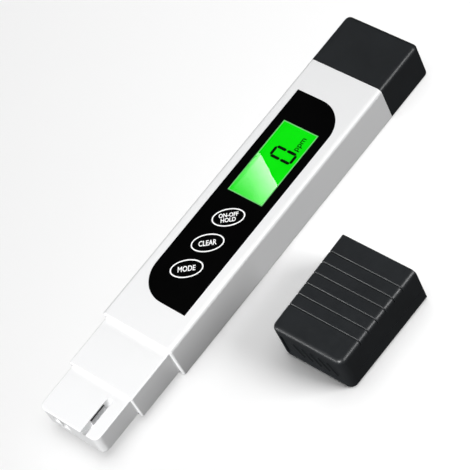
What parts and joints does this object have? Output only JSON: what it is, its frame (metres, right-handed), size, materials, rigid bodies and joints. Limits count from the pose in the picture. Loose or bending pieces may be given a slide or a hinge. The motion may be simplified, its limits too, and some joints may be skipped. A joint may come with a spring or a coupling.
{
  "type": "digital water tester",
  "caption": "Pen-shaped digital water tester with a backlit display, sloping oval keys, a stepped probe end with electrodes, a pull-off battery cap and a loose protective cap.",
  "frame": {"origin": "middle of the main housing's flat back face", "axes": "+Y along the tester towards the battery cap, +Z out of the display, +X across the tester towards the side where the loose cap lies"},
  "size_m": [0.0759, 0.1536, 0.0148],
  "materials": {
    "white_shell": "smooth semi-gloss moulded plastic",
    "black_shell": "fine satin moulded plastic",
    "overlay_film": "smooth black printed film",
    "clear_window": "clear polished acrylic",
    "display_glass": "thin display glass",
    "polariser_film": "neutral polarising film",
    "backlight": "milky light guide with green light",
    "frame_plastic": "plain moulded plastic",
    "connector_rubber": "striped silicone",
    "seal_rubber": "soft silicone",
    "key_rubber": "silicone rubber",
    "switch_plastic": "moulded switch plastic",
    "circuit_board": "solder-masked fibreglass board",
    "chip_resin": "black epoxy",
    "chip_ceramic": "tinned ceramic chips",
    "bright_metal": "nickel-plated steel",
    "contact_metal": "nickel-plated spring strip",
    "electrode_metal": "dull titanium strip",
    "sensor_glass": "dark glass-coated bead",
    "lead_sheath": "thin insulated wire"
  },
  "bodies": {
    "tester": {"amplifier_chip": "chip_resin", "backlight_leds": "backlight", "cell_carrier": "frame_plastic", "cell_left": "bright_metal", "cell_right": "bright_metal", "chip_components": "chip_ceramic", "clock_crystal": "bright_metal", "connector_strip": "connector_rubber", "contact_bridge": "contact_metal", "contact_negative": "contact_metal", "contact_positive": "contact_metal", "controller_drop": "chip_resin", "display_frame": "frame_plastic", "display_front_glass": "display_glass", "display_front_polariser": "polariser_film", "display_rear_glass": "display_glass", "display_rear_polariser": "polariser_film", "display_window": "clear_window", "electrode_back": "electrode_metal", "electrode_front": "electrode_metal", "electrode_leads": "lead_sheath", "front_overlay": "overlay_film", "housing": "white_shell", "light_guide": "backlight", "main_board": "circuit_board", "probe_head": "white_shell", "probe_seal": "seal_rubber", "sensor_leads": "lead_sheath", "switch_base_clear": "switch_plastic", "switch_base_mode": "switch_plastic", "switch_base_power": "switch_plastic", "temperature_sensor": "sensor_glass"},
    "battery_cap": {"battery_cap": "black_shell"},
    "protective_cap": {"protective_cap": "black_shell"},
    "key_power": {"key_pad_power": "overlay_film", "key_plunger_power": "key_rubber", "switch_stem_power": "switch_plastic"},
    "key_clear": {"key_pad_clear": "overlay_film", "key_plunger_clear": "key_rubber", "switch_stem_clear": "switch_plastic"},
    "key_mode": {"key_pad_mode": "overlay_film", "key_plunger_mode": "key_rubber", "switch_stem_mode": "switch_plastic"}
  },
  "joints": [
    {"name": "battery_cap_slide", "type": "slide", "parent": "tester", "child": "battery_cap", "axis": [0, 1, 0], "range_m": [0, 0.024]},
    {"name": "protective_cap_slide", "type": "slide", "parent": "tester", "child": "protective_cap", "axis": [0, -1, 0], "range_m": [0, 0.036]},
    {"name": "key_power_press", "type": "slide", "parent": "tester", "child": "key_power", "axis": [0, 0, -1], "range_m": [0, 0.0003], "stiffness_N_per_m": 3500},
    {"name": "key_clear_press", "type": "slide", "parent": "tester", "child": "key_clear", "axis": [0, 0, -1], "range_m": [0, 0.0003], "stiffness_N_per_m": 3500},
    {"name": "key_mode_press", "type": "slide", "parent": "tester", "child": "key_mode", "axis": [0, 0, -1], "range_m": [0, 0.0003], "stiffness_N_per_m": 3500}
  ]
}
